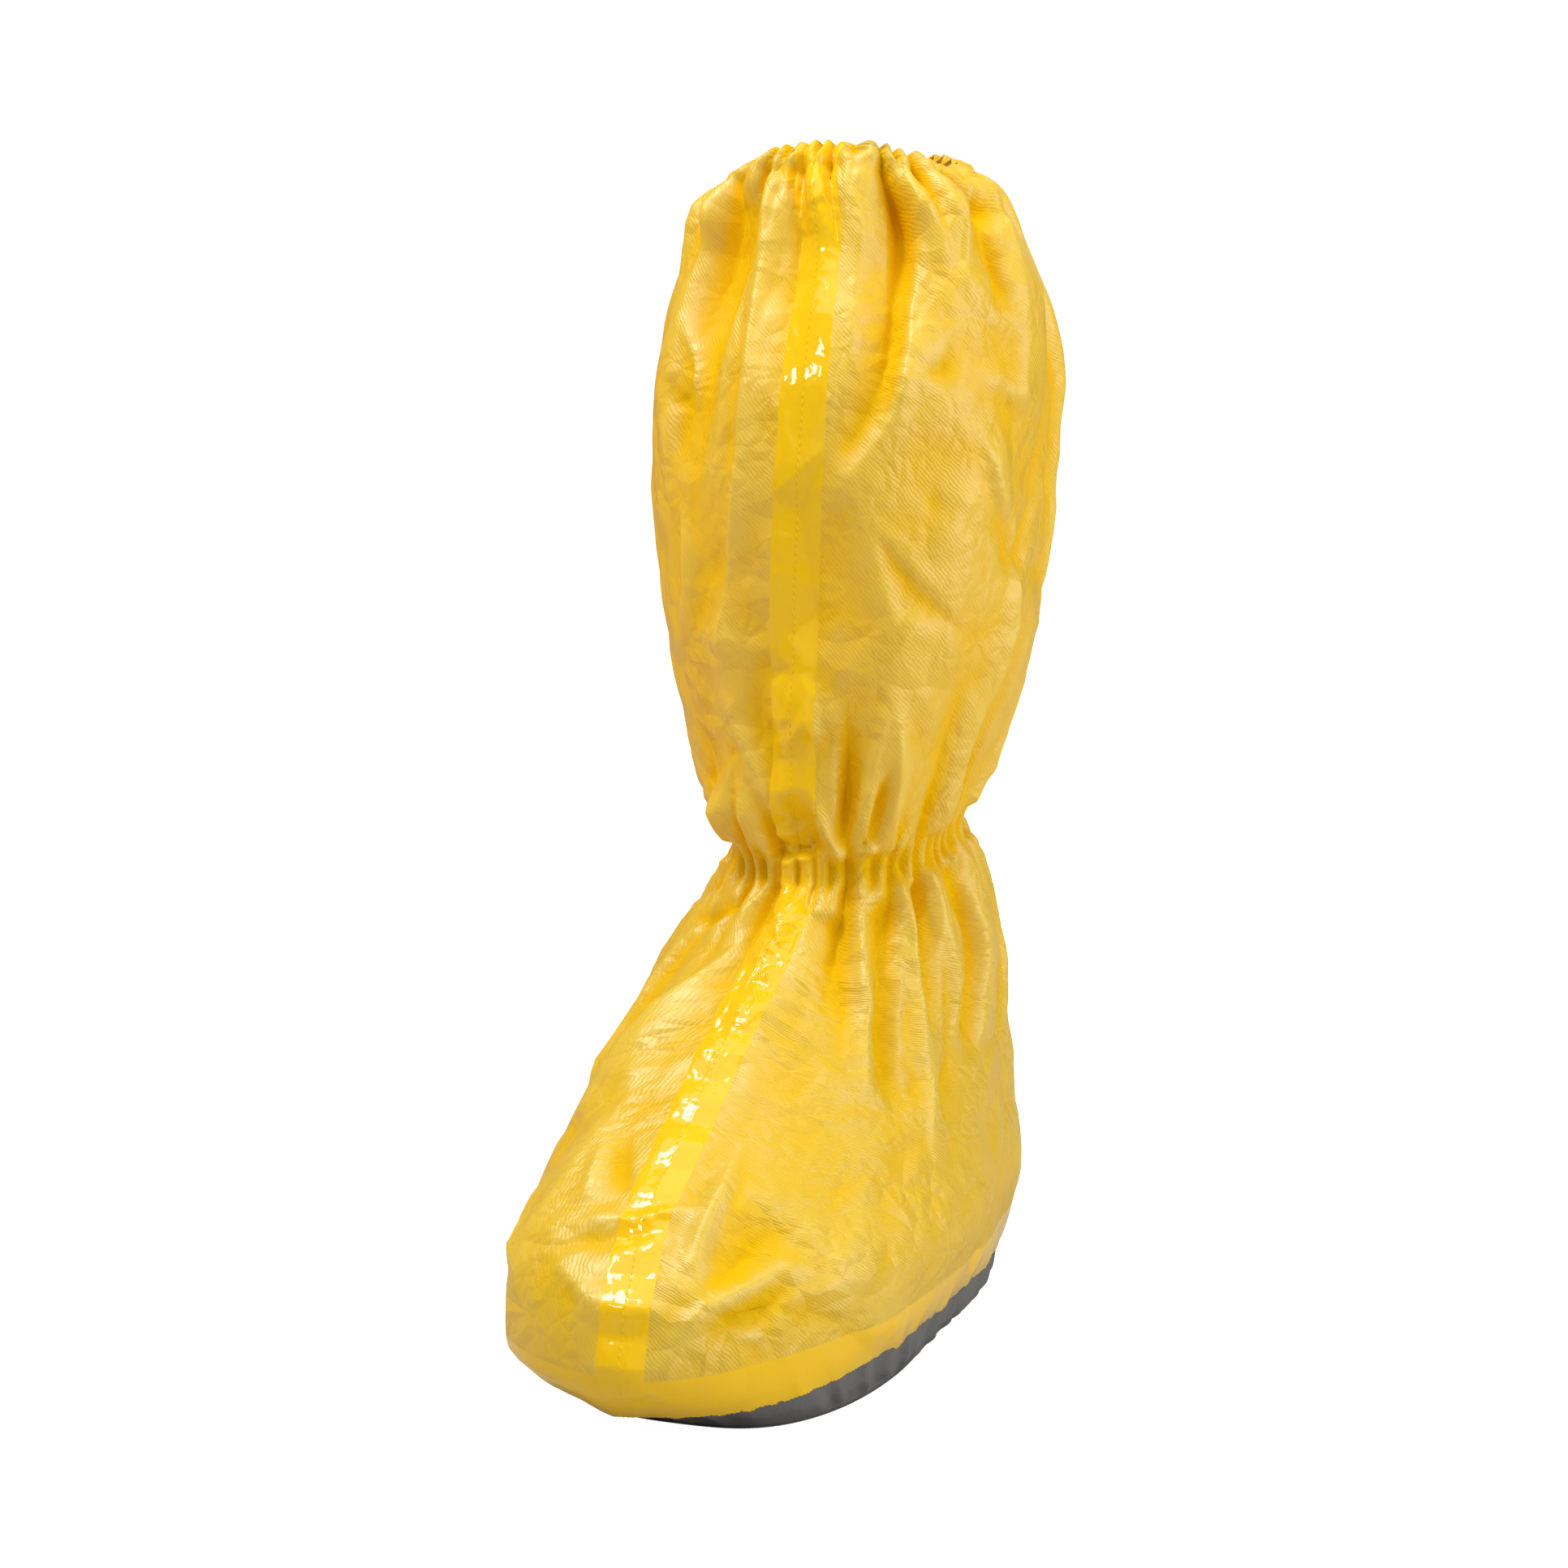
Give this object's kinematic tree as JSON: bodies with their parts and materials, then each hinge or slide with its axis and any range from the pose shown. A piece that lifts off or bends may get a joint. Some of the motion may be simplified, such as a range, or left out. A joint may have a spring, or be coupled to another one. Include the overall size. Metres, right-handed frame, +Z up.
{
  "type": "overshoe",
  "caption": "Tall yellow coated-fabric overshoe with elastic gathers at collar and ankle, taped front and sole seams and a grey soft sole, worn over a shoe to keep it clean and dry.",
  "frame": {"origin": "on the floor under the middle of the overshoe's bounding box", "axes": "+Z up the shaft, -Y towards the toe, +X to the right of someone looking at the toe"},
  "size_m": [0.1642, 0.3554, 0.4878],
  "materials": {
    "yellow_fabric": "coated nonwoven, half matt, fine embossed grain",
    "yellow_tape": "glossy heat-sealed film",
    "grey_sole": "matt soft coated sheet",
    "pale_elastic": "woven elastic"
  },
  "bodies": {
    "root": {"upper": "yellow_fabric", "sole": "grey_sole", "front_seam_tape": "yellow_tape", "sole_seam_tape": "yellow_tape", "ankle_elastic": "pale_elastic", "collar_elastic": "pale_elastic"}
  },
  "joints": []
}
